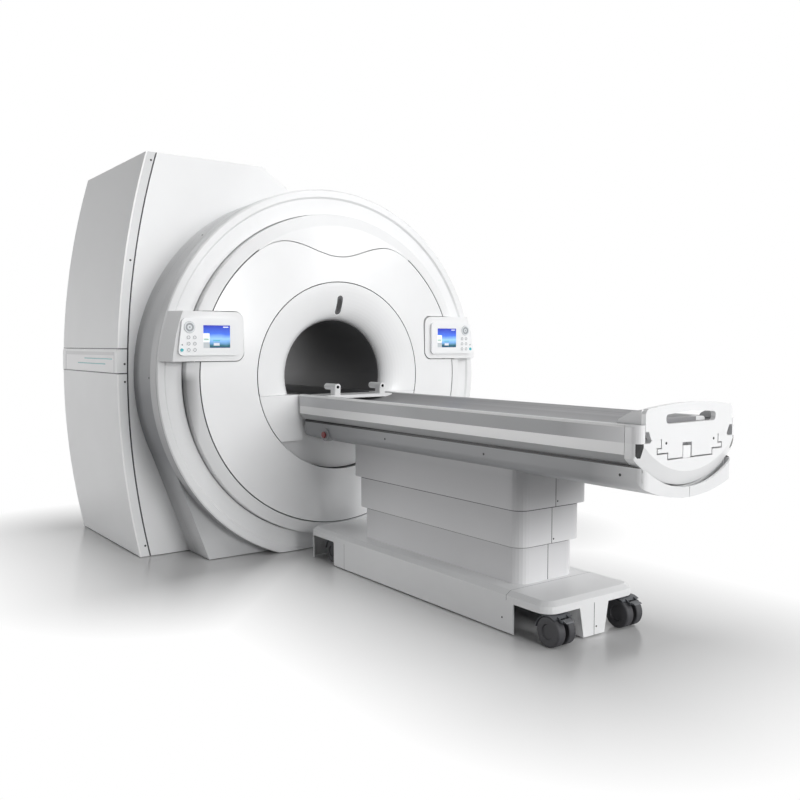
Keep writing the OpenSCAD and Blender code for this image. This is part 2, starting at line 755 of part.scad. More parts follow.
// Inside of the tray that the cradle runs in
function tray_inner(top) = mirrored([
    [0, tray_floor], [125, tray_floor], [125, tray_floor + 21], [180, tray_floor + 21],
    [180, groove_floor], [block_half_w + 9, groove_floor], [block_half_w + 9, groove_shoulder],
    [shoulder_half_w + 2, groove_shoulder], [shoulder_half_w + 10, band_top],
    [rail_in, band_top], [rail_in, top]
]);
drive_rail_x0 = -40;
drive_rail_w = 44;
module table_frame() color(c_white) placed() {
    along_y(-table_y1 + cap_l + 2, -table_y0) difference() {
        polygon(mirrored([
            [0, lip_bottom], [hull_half_w - hull_t - 6, lip_bottom],
            [hull_half_w - hull_t - 6, frame_bottom], [hull_half_w - 6, frame_bottom],
            [rail_half_w, band_bottom], [rail_half_w, band_top],
            [shoulder_half_w + 10, band_top], [shoulder_half_w + 2, groove_shoulder],
            [0, groove_shoulder]
        ]));
        polygon(tray_inner(rail_top_z));
    }
    // Drive rail under the cradle
    along_y(-table_y1 + cap_l + 2, -table_y0)
        square_at(drive_rail_x0, tray_floor - 1, drive_rail_w, groove_floor - tray_floor + 1);
}

module side_rails() color(c_grey) placed() for (side = [-1, 1]) on_side(side)
    along_y(-table_y1 + cap_l + 2, -table_y0) polygon(rounded([
        [rail_in, band_top, 0], [rail_half_w, band_top, 0],
        [rail_half_w, rail_top_z, 8], [rail_in, rail_top_z, 8]
    ]));

module end_cap() color(c_white) placed() difference() {
    intersection() {
        translate([0, 0, cap_arc_z]) rotate([-90, 0, 0]) rotate_extrude($fn = big_fn) polygon([
            [0, -table_y1], [cap_face_r, -table_y1], [cap_arc_r, -table_y1 + cap_bevel],
            [cap_arc_r, -table_y1 + cap_l], [0, -table_y1 + cap_l]
        ]);
        along_z(hull_z, rail_top_z) polygon(round_rect(
            -rail_half_w, -table_y1, rail_half_w, -table_y1 + 3 * cap_l, end_corner));
        along_y(-table_y1, -table_y1 + cap_l + 1.7) polygon(rounded([
            [-rail_half_w, hull_z, 0], [rail_half_w, hull_z, 0],
            [rail_half_w, rail_top_z, 8], [-rail_half_w, rail_top_z, 8]
        ]));
    }
    along_y(-table_y1 - 1, -table_y1 + cap_l + 3) polygon(tray_inner(rail_top_z + 1));
}

// CRADLE

cradle_z0 = groove_floor + slide_gap;
cradle_z1 = groove_shoulder + slide_gap;
cradle_top = rail_top_z - 2;
trough_depth = 33;
trough_half_w = cradle_half_w - 12;
end_plate_t = 18;
head_l = 170;
head_pocket_z = cradle_top - 16;
head_half_w = cradle_half_w - 28;
stop_half_w = 120;
stop_h = 14;
module cradle() color(c_white) placed() {
    difference() {
        along_y(-table_y1 + end_plate_t, -cradle_y0) polygon(mirrored(concat(
            [[0, cradle_z0], [block_half_w, cradle_z0], [block_half_w, cradle_z1],
             [shoulder_half_w, cradle_z1], [shoulder_half_w + 14, cradle_top - 18],
             [cradle_half_w, cradle_top - 16], [cradle_half_w, cradle_top]],
            [for (k = [12:-1:0]) let (x = trough_half_w * k / 12)
                [x, cradle_top - trough_depth * (1 - pow(k / 12, 2))]]
        )));
        along_y(-table_y0 - head_l, -table_y0) square_at(-head_half_w, head_pocket_z, 2 * head_half_w, 50);
    }
    // Foot stop behind the end plate
    along_y(-table_y1 + end_plate_t + 12, -table_y1 + end_plate_t + 40) polygon(rounded([
        [-stop_half_w, cradle_top - trough_depth - 5, 0], [stop_half_w, cradle_top - trough_depth - 5, 0],
        [stop_half_w, cradle_top + stop_h, 10], [-stop_half_w, cradle_top + stop_h, 10]
    ]));
}

// End plate: stepped below to clear the tray, arched above, with a handle slot
plate_half_w = cradle_half_w + 4;
plate_bottom = tray_floor + 5;
arch_z = rail_top_z + 66;
function arch(x) = arch_z - pow(x / 60, 2);
plate_steps = [
    [120, plate_bottom], [120, plate_bottom + 21], [175, plate_bottom + 21],
    [175, plate_bottom + 34], [154, plate_bottom + 34], [154, cradle_z1],
    [208, cradle_z1], [222, cradle_z1 + 28], [plate_half_w, cradle_z1 + 28],
    [plate_half_w, arch_z - 31], [plate_half_w - 4, arch_z - 21]
];
grip_w = 24;
grip_l = 120;
grip_h = 52;
module end_plate() color(c_white) placed() {
    difference() {
        along_y(-table_y1, -table_y1 + end_plate_t) polygon(concat(
            plate_steps,
            [for (x = [225:-25:-225]) [x, arch(x)]],
            [for (i = [len(plate_steps) - 1:-1:0]) [-plate_steps[i][0], plate_steps[i][1]]]
        ));
        // Notch that passes over the drive rail
        along_y(-table_y1 - 1, -table_y1 + end_plate_t + 1)
            square_at(drive_rail_x0 - 4, plate_bottom - 1, drive_rail_w + 7.5, 50);
        along_y(-table_y1 - 1, -table_y1 + end_plate_t + 1) polygon(rounded([
            [-133, rail_top_z - 2, 14], [139, rail_top_z - 2, 14],
            [139, rail_top_z + 29, 12], [3, rail_top_z + 39, 90], [-133, rail_top_z + 29, 12]
        ]));
    }
    // Grips at both sides
    for (side = [-1, 1]) on_side(side)
        along_x(plate_half_w - grip_w, plate_half_w - 1) polygon(rounded([
            [-table_y1 + end_plate_t - 1, cradle_top + grip_h, 0],
            [-table_y1 + end_plate_t - 1, cradle_top, 0], [-table_y1 + grip_l, cradle_top, 0],
            [-table_y1 + grip_l - 8, cradle_top + 14, 10], [-table_y1 + grip_l / 2, cradle_top + 42, 20]
        ]));
}

// Head plate with two sockets for a head rest
socket_x = 140;
socket_r = 16.5;
socket_z = rail_top_z + 40;
post_w = 36;
head_y1 = -table_y0 - head_l + 2;
module head_plate() color(c_white) placed() difference() {
    union() {
        along_z(head_pocket_z, cradle_top) polygon(round_rect(
            -head_half_w + 0.5, head_y1, head_half_w - 0.5, -table_y0 - 6, 6));
        for (x = [-socket_x, socket_x]) {
            along_z(head_pocket_z, socket_z) polygon(round_rect(
                x - post_w / 2, head_y1, x + post_w / 2, head_y1 + 45, 5));
            rod_y(x, socket_z, socket_r, head_y1 - 2, head_y1 + 108);
        }
    }
    for (x = [-socket_x, socket_x])
        rod_y(x, socket_z, 8, head_y1 - 3, head_y1 + 50);
}

// LIFT

stage_lap = 16;
stage_seam = 2;
module stage(i, z0, z1) placed() along_z(z0, z1) difference() {
    polygon(stage_plan(i, 0));
    polygon(stage_plan(i, -stage_t));
    // Seam down the middle of both ends
    for (end = [-1, 1])
        translate([0, -stage_mid_y + end * (stage_l / 2 + i * stage_step)])
            square(stage_seam, center = true);
}
// Lip that guides a stage on the one inside it
module stage_lip(i) placed() along_z(stage_z[i], stage_z[i] + 4) difference() {
    polygon(stage_plan(i, -1));
    polygon(stage_plan(i - 1, slide_gap));
}
module stage_lower() color(c_grey) stage(0, stage_z[0], stage_z[1] + stage_lap);
module stage_middle() color(c_grey) union() {
    stage(1, stage_z[1], stage_z[2] + stage_lap);
    stage_lip(1);
}
module stage_upper() color(c_grey) union() {
    stage(2, stage_z[2], lip_bottom);
    stage_lip(2);
}

column_spread = 300;
column_wall = 8;
column_z0 = 12;
column_top = 390;
inner_z0 = column_z0 + lift_travel + 8;
module at_columns() for (side = [-1, 1])
    translate([0, -stage_mid_y + side * column_spread, 0]) children();
module column_outer() color(c_metal) placed() at_columns() difference() {
    rod_z(0, 0, column_r, column_z0, column_top);
    rod_z(0, 0, column_r - column_wall, column_z0 - 1, column_top + 1);
}
module column_inner() color(c_metal) placed() at_columns()
    rod_z(0, 0, column_r - column_wall - slide_gap, inner_z0, lip_bottom);

// CART

deck_bottom = deck_z - deck_t;
cart_corner = 60;
deck_bevel = 15;
deck_inset = 24;
stem_r = 8;
stem_top = deck_z - 12;
front_caster_y = -cart_y1 + 50;
rear_caster_y = -cart_y0 - 143;
caster_spots = [
    [-front_caster_x, front_caster_y], [front_caster_x, front_caster_y],
    [-rear_caster_x, rear_caster_y], [rear_caster_x, rear_caster_y]
];
function cart_plan(inset) = round_rect(
    -cart_half_w + inset, -cart_y1 + inset, cart_half_w - inset, -cart_y0 - inset,
    cart_corner - inset);

module cart_deck() color(c_white) placed() difference() {
    union() {
        along_z(deck_bottom, deck_z - deck_bevel) polygon(cart_plan(0));
        hull() {
            along_z(deck_z - deck_bevel - 1, deck_z - deck_bevel) polygon(cart_plan(0));
            along_z(deck_z - 1, deck_z) polygon(cart_plan(deck_inset));
        }
    }
    at_columns() rod_z(0, 0, column_r + slide_gap, deck_bottom - 1, deck_z + 1);
    for (spot = caster_spots)
        rod_z(spot[0], spot[1], stem_r + slide_gap, deck_bottom - 1, stem_top + slide_gap);
}

beam_x = 66;
beam_w = 40;
beam_z = 60;
dock_y = scoop_edge_y + 0.5;
dock_h = 62;
module cart_frame() color(c_metal) placed() {
    for (side = [-1, 1]) on_side(side)
        translate([beam_x, -cart_y1 + 175, beam_z])
            cube([beam_w, cart_y1 - cart_y0 - 438, deck_bottom - beam_z]);
    at_columns() difference() {
        translate([-beam_x - 1, -column_r - 20, beam_z]) cube([2 * beam_x + 2, 2 * column_r + 40, 15]);
        rod_z(0, 0, column_r + slide_gap, beam_z - 1, beam_z + 16);
    }
    // Docking foot, up to the front ring
    along_x(-70, 70) polygon(rounded([
        [-cart_y0 + slide_gap, 12, 0], [dock_y, 12, 0],
        [dock_y, 30, 0], [-20, dock_h, 14], [-cart_y0 + slide_gap, dock_h, 0]
    ]));
}

leg_top_x = 80;
leg_foot_x = 58;
leg_l = 150;
opening_z = 122.5;
front_skirt_y = -cart_y1 + 183;
rear_open_y0 = -cart_y0 - 247;
rear_open_y1 = -cart_y0 - 45;
module cart_cover(side) placed() on_side(side) difference() {
    union() {
        along_z(5, deck_bottom) difference() {
            polygon(cart_plan(0));
            polygon(cart_plan(skirt_t));
        }
        along_y(-cart_y1 + 1, -cart_y1 + leg_l) polygon([
            [0, 5], [leg_foot_x, 5], [leg_top_x, opening_z], [leg_top_x, deck_bottom], [0, deck_bottom]
        ]);
    }
    // Opening round the front casters
    along_y(-cart_y1 - 1, front_skirt_y) polygon([
        [leg_foot_x, -1], [leg_foot_x, 5], [leg_top_x, opening_z], [2 * cart_half_w, opening_z],
        [2 * cart_half_w, -1]
    ]);
    // Opening beside the rear casters
    along_x(cart_half_w / 2, 2 * cart_half_w) polygon(rounded([
        [rear_open_y0, -1, 0], [rear_open_y1, -1, 0],
        [rear_open_y1, opening_z, 10], [rear_open_y0, opening_z, 10]
    ]));
    translate([-far + 0.75, -far, 0]) cube([far, 2 * far, far]);
}
module cart_cover_left() color(c_white) cart_cover(-1);
module cart_cover_right() color(c_white) cart_cover(1);

// Casters: a twin wheel under a hood, trailing its swivel stem
wheel_r = wheel_d / 2;
web_half = 9;
hub_r = 30;
axle_r = 6;
hood_r = wheel_r + 2;
hood_t = 3;
hinge_r = wheel_r + 8.5;
hinge_a = 135;
hinge_half = 22;
pedal_pin_r = 3.7;
function sector(r0, r1, a0, a1) = concat(
    [for (k = [0:12]) let (a = a0 + (a1 - a0) * k / 12) [r1 * cos(a), r1 * sin(a)]],
    [for (k = [12:-1:0]) let (a = a0 + (a1 - a0) * k / 12) [r0 * cos(a), r0 * sin(a)]]
);
// Work from a caster's wheel centre
module at_wheel(spot) placed() translate([spot[0], spot[1] - caster_trail, wheel_r]) children();
hinge = hinge_r * [cos(hinge_a), sin(hinge_a)];

module caster(spot, braked) at_wheel(spot) {
    difference() {
        union() {
            along_x(-web_half, web_half) {
                circle(r = 24, $fn = small_fn);
                polygon([[-10, 15], [caster_trail - 20, hood_r + 1], [caster_trail + 20, hood_r + 1], [20, 0]]);
            }
            along_x(-wheel_w / 2, wheel_w / 2) polygon(sector(hood_r, hood_r + hood_t, 8, 122));
            rod_z(0, caster_trail, 22, hood_r - 1, deck_bottom - wheel_r - 4);
            rod_z(0, caster_trail, stem_r, hood_r, stem_top - wheel_r);
            if (braked) for (s = [-1, 1]) on_side(s) along_x(hinge_half, hinge_half + 4) {
                translate(hinge) circle(r = 6, $fn = small_fn);
                polygon(sector(hood_r, hood_r + 8, 116, hinge_a - 2));
            }
        }
        rod_x(0, 0, axle_r + slide_gap, -2 * web_half, 2 * web_half);
        for (s = [-1, 1]) on_side(s) rod_x(0, 0, hood_r, web_half, wheel_w);
        if (braked) rod_x(hinge[0], hinge[1], pedal_pin_r + slide_gap, -40, 40);
    }
}
module caster_front_left() color(c_dark) caster(caster_spots[0], true);
module caster_front_right() color(c_dark) caster(caster_spots[1], true);
module caster_rear_left() color(c_dark) caster(caster_spots[2], false);
module caster_rear_right() color(c_dark) caster(caster_spots[3], false);

module wheel_pair(spot) at_wheel(spot) {
    for (s = [-1, 1]) on_side(s) translate([web_half + 0.5, 0, 0]) rotate([0, 90, 0])
        rotate_extrude($fn = 96) polygon(rounded([
            [0, 0, 0], [wheel_r, 0, 5], [wheel_r, wheel_w / 2 - web_half - 1, 8],
            [hub_r, wheel_w / 2 - web_half - 1, 0], [hub_r - 3, wheel_w / 2 - web_half - 6, 0],
            [0, wheel_w / 2 - web_half - 6, 0]
        ]));
    rod_x(0, 0, axle_r, -web_half - 2, web_half + 2);
}
module wheels_front_left() color(c_dark) wheel_pair(caster_spots[0]);
module wheels_front_right() color(c_dark) wheel_pair(caster_spots[1]);
module wheels_rear_left() color(c_dark) wheel_pair(caster_spots[2]);
module wheels_rear_right() color(c_dark) wheel_pair(caster_spots[3]);

module brake_pedal(spot) at_wheel(spot) {
    rod_x(hinge[0], hinge[1], 5.5, -hinge_half + 0.5, hinge_half - 0.5);
    rod_x(hinge[0], hinge[1], pedal_pin_r, -hinge_half - 3.5, hinge_half + 3.5);
    along_x(-hinge_half + 1, hinge_half - 1) polygon([
        hinge + [0, 5], hinge + [-21, 1], hinge + [-24, -3], hinge + [-21, -4], hinge + [0, -4]
    ]);
}
module brake_pedal_left() color(c_grey) brake_pedal(caster_spots[0]);
module brake_pedal_right() color(c_grey) brake_pedal(caster_spots[1]);

base_plinth();
magnet_vessel();
coil_assembly();
bore_liner();
bore_bridge();
drum_cover();
front_ring();
front_frame();
front_panel();
bore_funnel();
light_window();
bridge_cover();
recess_panel();
panel_module_left();
panel_module_right();
display_screens();
dial_left();
dial_right();
start_button_left();
start_button_right();
cabinet_front();
cabinet_top();
cabinet_rear();
rear_funnel();
side_upper_left();
side_upper_right();
side_lower_left();
side_lower_right();
side_band_left();
side_band_right();
cart_frame();
cart_deck();
cart_cover_left();
cart_cover_right();
stage_lower();
stage_middle();
stage_upper();
column_outer();
column_inner();
caster_front_left();
caster_front_right();
caster_rear_left();
caster_rear_right();
wheels_front_left();
wheels_front_right();
wheels_rear_left();
wheels_rear_right();
brake_pedal_left();
brake_pedal_right();
hull_left();
hull_right();
table_frame();
side_rails();
end_cap();
estop_left();
estop_right();
cradle();
end_plate();
head_plate();
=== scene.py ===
import json
import math

import bmesh
import bpy
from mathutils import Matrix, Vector


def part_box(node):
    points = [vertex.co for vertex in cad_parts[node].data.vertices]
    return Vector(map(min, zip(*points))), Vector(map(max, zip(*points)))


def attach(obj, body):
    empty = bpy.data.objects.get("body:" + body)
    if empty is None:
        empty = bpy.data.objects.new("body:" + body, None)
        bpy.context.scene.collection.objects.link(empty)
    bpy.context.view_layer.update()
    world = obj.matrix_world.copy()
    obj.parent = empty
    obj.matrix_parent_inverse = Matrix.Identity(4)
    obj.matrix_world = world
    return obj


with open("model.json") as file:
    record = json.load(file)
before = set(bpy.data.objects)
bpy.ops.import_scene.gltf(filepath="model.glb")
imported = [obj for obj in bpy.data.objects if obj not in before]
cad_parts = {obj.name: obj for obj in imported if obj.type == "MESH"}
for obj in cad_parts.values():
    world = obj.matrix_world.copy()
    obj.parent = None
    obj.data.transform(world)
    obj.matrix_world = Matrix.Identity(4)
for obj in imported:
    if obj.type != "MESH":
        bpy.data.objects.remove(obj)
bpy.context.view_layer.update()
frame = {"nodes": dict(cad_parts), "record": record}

# Lengths are in metres. Places along the bore are measured from ring_y, the front plane of
# the front ring (its two pads stand in front of it), and heights from the floor.
RING_DEPTH = 0.0825
RING_R = 1.0
FUNNEL_SEAM_R = 0.502
PANEL_R = 0.798
ring_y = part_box("front_ring")[1].y - RING_DEPTH
bore_z = 0.941
# A place past the table's foot end, in the frame
BEYOND_FOOT = -2

# The cabinet's sides are arcs about lines along the bore, mirrored at the middle plane
SIDE_ARC_X = 3.1175
SIDE_ARC_Z = 0.913
SIDE_ARC_R = 4.19

# Camera: the photograph's viewing angle
CAMERA_PLACE = (-2.5035, ring_y - 4.0345, 1.1089)
CAMERA_YAW = 36.197
CAMERA_PITCH = 3.680
CAMERA_LENS = 38.90


def along(start, end):
    """Two places along the bore, measured from the ring."""
    return ring_y + start, ring_y + end


def make_camera():
    data = bpy.data.cameras.new("camera")
    data.lens = CAMERA_LENS
    data.sensor_width = 36
    data.clip_end = 200
    cam = bpy.data.objects.new("camera", data)
    cam.location = CAMERA_PLACE
    cam.rotation_euler = (math.radians(90 - CAMERA_PITCH), 0, math.radians(-CAMERA_YAW))
    bpy.context.scene.collection.objects.link(cam)
    bpy.context.scene.camera = cam


# Materials

# The colour sockets of a Mix node
MIX_A, MIX_B, MIX_RESULT = 6, 7, 2


class Nodes:
    """A short way to write a node tree."""

    def __init__(self, name):
        self.material = bpy.data.materials.new(name)
        self.material.use_nodes = True
        self.tree = self.material.node_tree
        self.tree.nodes.clear()
        self.out = self.add("ShaderNodeOutputMaterial")
        self.coordinates = self.add("ShaderNodeTexCoord").outputs["Object"]
        split = self.add("ShaderNodeSeparateXYZ")
        self.link(self.coordinates, split.inputs[0])
        self.x, self.y, self.z = split.outputs
        self.side = self.math("ABSOLUTE", self.x)

    def add(self, kind, **values):
        node = self.tree.nodes.new(kind)
        for key, value in values.items():
            if key in node.inputs:
                node.inputs[key].default_value = value
            else:
                setattr(node, key, value)
        return node

    def link(self, source, target):
        self.tree.links.new(source, target)

    def math(self, operation, *values):
        node = self.add("ShaderNodeMath", operation=operation)
        for value, slot in zip(values, node.inputs):
            if isinstance(value, (int, float)):
                slot.default_value = value
            else:
                self.link(value, slot)
        return node.outputs[0]

    def within(self, value, low, high):
        """1 where the value lies between two limits, else 0."""
        return self.math("COMPARE", value, (low + high) / 2, (high - low) / 2)

    def overlap(self, a, b):
        """1 where both masks are 1."""
        return self.math("MULTIPLY", a, b)

    def zone(self, x=None, y=None, z=None, both=True):
        """1 inside a box, on both sides of the middle plane if both is set."""
        mask = None
        for axis, limits in ((self.side if both else self.x, x), (self.y, y), (self.z, z)):
            if limits:
                part = self.within(axis, *limits)
                mask = self.overlap(mask, part) if mask else part
        return mask

    def distance(self, a, b):
        squares = self.math("MULTIPLY", a, a), self.math("MULTIPLY", b, b)
        return self.math("SQRT", self.math("ADD", *squares))

    def spot(self, x, z, inner, outer):
        """A ring round a point of the front, on both sides of the middle plane."""
        away = self.distance(self.math("SUBTRACT", self.side, x), self.math("SUBTRACT", self.z, z))
        return self.within(away, inner, outer)

    def side_depth(self):
        """Distance outwards from the bulging sides of the cabinet, nought on their surface."""
        away = self.distance(self.math("ADD", self.side, SIDE_ARC_X),
                             self.math("SUBTRACT", self.z, SIDE_ARC_Z))
        return self.math("SUBTRACT", away, SIDE_ARC_R)

    def radius(self):
        """Distance from the bore's axis."""
        return self.distance(self.x, self.math("SUBTRACT", self.z, bore_z))

    def noise(self, scale, detail=2.0, roughness=0.5):
        node = self.add("ShaderNodeTexNoise", Scale=scale, Detail=detail, Roughness=roughness)
        self.link(self.coordinates, node.inputs["Vector"])
        return node.outputs["Fac"]

    def ranged(self, value, low, high, start=0.0, end=1.0):
        """Goes from low to high while the value goes from start to end."""
        node = self.add("ShaderNodeMapRange")
        self.link(value, node.inputs["Value"])
        node.inputs["From Min"].default_value = start
        node.inputs["From Max"].default_value = end
        node.inputs["To Min"].default_value = low
        node.inputs["To Max"].default_value = high
        return node.outputs["Result"]

    def rise(self, value, start, end):
        """0 before start, 1 after end."""
        return self.ranged(value, 0.0, 1.0, start, end)

    def fall(self, value, start, end):
        """1 before start, 0 after end."""
        return self.ranged(value, 1.0, 0.0, start, end)

    def ramp(self, value, stops):
        node = self.add("ShaderNodeValToRGB")
        self.link(value, node.inputs["Fac"])
        marks = node.color_ramp.elements
        while len(marks) < len(stops):
            marks.new(0.5)
        for mark, (place, colour) in zip(marks, stops):
            mark.position = place
            mark.color = (*colour, 1)
        return node.outputs["Color"]

    def mixed(self, mask, base, colour):
        node = self.add("ShaderNodeMix", data_type="RGBA")
        self.link(mask, node.inputs[0])
        self.link(base, node.inputs[MIX_A])
        node.inputs[MIX_B].default_value = (*colour, 1)
        return node.outputs[MIX_RESULT]

    def bump(self, height, strength, distance):
        node = self.add("ShaderNodeBump", Strength=strength, Distance=distance)
        self.link(height, node.inputs["Height"])
        return node.outputs["Normal"]


def plastic(name, colour, roughness, grain=700, bump=0.05, coat=0.0, marks=None):
    """Moulded or painted plastic: a faint cloud of tone, fine grain and uneven gloss.

    marks(n) gives masks and colours that are laid over the tone, one after another.
    """
    tone, spread = 0.02, 0.03
    n = Nodes(name)
    shader = n.add("ShaderNodeBsdfPrincipled")
    dark = [c * (1 - tone) for c in colour]
    light = [min(1, c * (1 + tone)) for c in colour]
    base = n.ramp(n.noise(2.3, 3.0), [(0.3, dark), (0.7, light)])
    for mask, mark_colour in (marks(n) if marks else []):
        base = n.mixed(mask, base, mark_colour)
    n.link(base, shader.inputs["Base Color"])
    gloss = n.ranged(n.noise(9, 4.0), roughness - spread, roughness + spread)
    n.link(gloss, shader.inputs["Roughness"])
    n.link(n.bump(n.noise(grain, 2.0), bump, 0.0004), shader.inputs["Normal"])
    shader.inputs["Coat Weight"].default_value = coat
    shader.inputs["Coat Roughness"].default_value = 0.12
    shader.inputs["IOR"].default_value = 1.5
    n.link(shader.outputs[0], n.out.inputs[0])
    return n.material


def painted_metal(name, colour, roughness, metallic=0.0):
    """Painted or cast metal: darker clouds, and a rougher grain than the plastic's."""
    tone, spread = 0.06, 0.06
    n = Nodes(name)
    shader = n.add("ShaderNodeBsdfPrincipled")
    dark = [c * (1 - tone) for c in colour]
    n.link(n.ramp(n.noise(6, 4.0), [(0.35, dark), (0.65, colour)]), shader.inputs["Base Color"])
    gloss = n.ranged(n.noise(40, 3.0), roughness - spread, roughness + spread)
    n.link(gloss, shader.inputs["Roughness"])
    n.link(n.bump(n.noise(420, 3.0), 0.12, 0.0005), shader.inputs["Normal"])
    shader.inputs["Metallic"].default_value = metallic
    n.link(shader.outputs[0], n.out.inputs[0])
    return n.material


WHITE = (0.86, 0.865, 0.87)
FRONT_WHITE = (0.9, 0.905, 0.91)
PANEL_WHITE = (0.92, 0.925, 0.93)
BLACK = (0.01, 0.01, 0.011)
SEAM = (0.2, 0.2, 0.21)
DARK_SEAM = (0.06, 0.06, 0.065)
# The deep seam colour is also used for a line of painted shadow under the stages
DEEP_SEAM_AND_SHADOW = (0.04, 0.04, 0.045)
SHADED_WHITE = (0.66, 0.665, 0.67)
TEAL = (0.05, 0.38, 0.42)
KEY_GREY = (0.4, 0.41, 0.43)

# Control modules: places on the front, the same left and right
DIAL = (0.865, 1.191)
KEYS_X = 0.8555
KEY_SPREAD = 0.0155
KEY_ROW_Z = 1.0825
KEY_PITCH = 0.03
READY_LIGHT = (0.903, 1.107)
SCREEN_X = (0.655, 0.795)
SCREEN_Z = (1.092, 1.202)


def module_marks(n):
    """Rings and dots on the six sealed keys, a ring round the dial and a small unlit lamp."""
    across = n.math("ABSOLUTE", n.math("SUBTRACT", n.side, KEYS_X))
    row = n.math("WRAP", n.math("SUBTRACT", n.z, KEY_ROW_Z), KEY_PITCH / 2, -KEY_PITCH / 2)
    away = n.distance(n.math("SUBTRACT", across, KEY_SPREAD), row)
    keys = n.zone(x=(0.828, 0.888), z=(1.07, 1.158))
    ring = n.overlap(keys, n.within(away, 0.0055, 0.0088))
    sign = n.overlap(keys, n.within(away, 0.0, 0.0025))
    dial_gap = n.spot(*DIAL, 0.0265, 0.0285)
    light = n.spot(*READY_LIGHT, 0.0, 0.0035)
    return [(ring, KEY_GREY), (sign, (0.6, 0.61, 0.62)), (dial_gap, KEY_GREY),
            (light, (0.1, 0.12, 0.14))]


def dial_marks(n):
    """A ring and a hub on the face of each dial."""
    ring, hub = n.spot(*DIAL, 0.012, 0.0205), n.spot(*DIAL, 0.0, 0.0045)
    return [(ring, (0.36, 0.38, 0.4)), (hub, (0.4, 0.42, 0.44))]


def band_marks(n):
    """A plain plate painted on the band, with a rim of painted shade round it and two teal lines.
    """
    front, rear = along(0.385, 1.275)
    plate = n.overlap(n.math("LESS_THAN", n.x, 0), n.zone(y=(front, rear), z=(0.957, 1.07)))
    face = n.zone(y=(front + 0.012, rear - 0.02), z=(0.963, 1.052))
    upper_line = n.zone(y=along(0.42, 0.9), z=(1.031, 1.036))
    lower_line = n.zone(y=along(0.53, 1.02), z=(1.004, 1.009))
    # The plate's grey is painted shade; the face painted over it leaves a shaded rim
    return [(plate, (0.62, 0.62, 0.63)), (n.overlap(plate, face), (0.88, 0.88, 0.89)),
            (n.overlap(plate, upper_line), TEAL), (n.overlap(plate, lower_line), TEAL)]


def side_marks(n):
    """Painted shade over the top, dark seams above and below the band, and a painted highlight
    along the front corner.
    """
    # The darker top is painted shade; the white strip at the front corner is a painted highlight
    top = n.rise(n.z, 1.2, 2.05)
    seams = n.math("ADD", n.zone(z=(0.9575, 0.9635)), n.zone(z=(1.0835, 1.0895)))
    edge = n.math("GREATER_THAN", n.side_depth(), -0.007)
    corner_highlight = n.overlap(n.zone(y=along(0.34, 0.352)), edge)
    return [(top, (0.7, 0.705, 0.71)), (corner_highlight, (1, 1, 1)), (seams, DARK_SEAM)]


def cabinet_front_marks(n):
    """Dark seam along the returns of the side panels."""
    return [(n.math("GREATER_THAN", n.side_depth(), -0.0555), (0.05, 0.05, 0.055))]


def ring_marks(n):
    """Painted shade that deepens a little towards the left, and painted shade on the flank towards
    the floor.
    """
    left = n.fall(n.x, -1.0, -0.76)
    rim = n.math("GREATER_THAN", n.radius(), RING_R - 0.0025)
    flank = n.overlap(rim, n.fall(n.z, 0.85, 1.9))
    return [(left, SHADED_WHITE), (flank, (0.36, 0.365, 0.375))]


def front_seam_marks(n):
    """The dark round seam between the front panel and the funnel, and the panel's rim."""
    seam = n.within(n.radius(), FUNNEL_SEAM_R - 0.0024, FUNNEL_SEAM_R + 0.0024)
    rim = n.within(n.radius(), PANEL_R - 0.0022, PANEL_R + 0.012)
    return [(seam, DEEP_SEAM_AND_SHADOW), (rim, (0.08, 0.08, 0.085))]


def front_frame_marks(n):
    """The recess beside the ring is shaded on the left, more so under the pad."""
    left = n.fall(n.x, -0.87, -0.6)
    under_pad = n.overlap(n.fall(n.x, -0.87, -0.8), n.fall(n.z, 0.93, 0.98))
    return [(left, SHADED_WHITE), (under_pad, (0.16, 0.16, 0.165))]


def table_frame_marks(n):
    """Painted shade on the underside, and painted shadow in the gap over the hull."""
    # Painted shade on the underside, and black painted shadow in the gap over the hull
    underside, gap_shadow = n.zone(z=(0.72, 0.7507)), n.zone(z=(0.6, 0.7206))
    return [(underside, (0.45, 0.455, 0.46)), (gap_shadow, (0.015, 0.015, 0.016))]


def stage_marks(above, shade, line=True):
    """Painted shade that deepens towards the piece above, a line of painted shadow just under it
    and a dark end seam.
    """
    low_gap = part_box(above)[0].z

    def marks(n):
        shaded = [(n.rise(n.z, low_gap - 0.15, low_gap), shade)]
        if line:
            # A line of painted shadow just under the piece above, in the deep seam colour
            shaded.append((n.zone(z=(low_gap - 0.0085, low_gap + 0.05)), DEEP_SEAM_AND_SHADOW))
        return shaded + [(n.zone(x=(-0.0016, 0.0016)), DARK_SEAM)]
    return marks


def rail_marks(n):
    """Painted light that grows towards both ends, and a painted highlight along the outer upper
    edge.
    """
    foot = n.fall(n.y, *along(-2.25, -1.95))
    head = n.rise(n.y, *along(-1.1, -0.2))
    edge_highlight = n.zone(x=(0.2595, 0.272), z=(0.8405, 0.8505))
    return [(foot, (0.85, 0.85, 0.86)), (head, (0.68, 0.685, 0.695)), (edge_highlight, (0.9, 0.9, 0.9))]


def cradle_marks(n):
    """Stripes along the trough, painted shade that deepens towards the bore, and a white foot
    stop.
    """
    outer_stripe, inner_stripe = n.zone(x=(0.196, 0.2)), n.zone(x=(0.178, 0.181))
    floor = n.zone(x=(0, 0.15))
    # Painted shade that deepens towards the bore
    head = n.rise(n.y, *along(-1.5, -0.4))
    stop = n.zone(x=(0.07, 0.121), y=(BEYOND_FOOT, ring_y - 2.2), z=(0.8485, 0.9), both=False)
    return [(outer_stripe, (0.24, 0.24, 0.25)), (inner_stripe, (0.26, 0.26, 0.27)),
            (floor, (0.29, 0.29, 0.3)), (head, (0.13, 0.13, 0.135)), (stop, WHITE)]


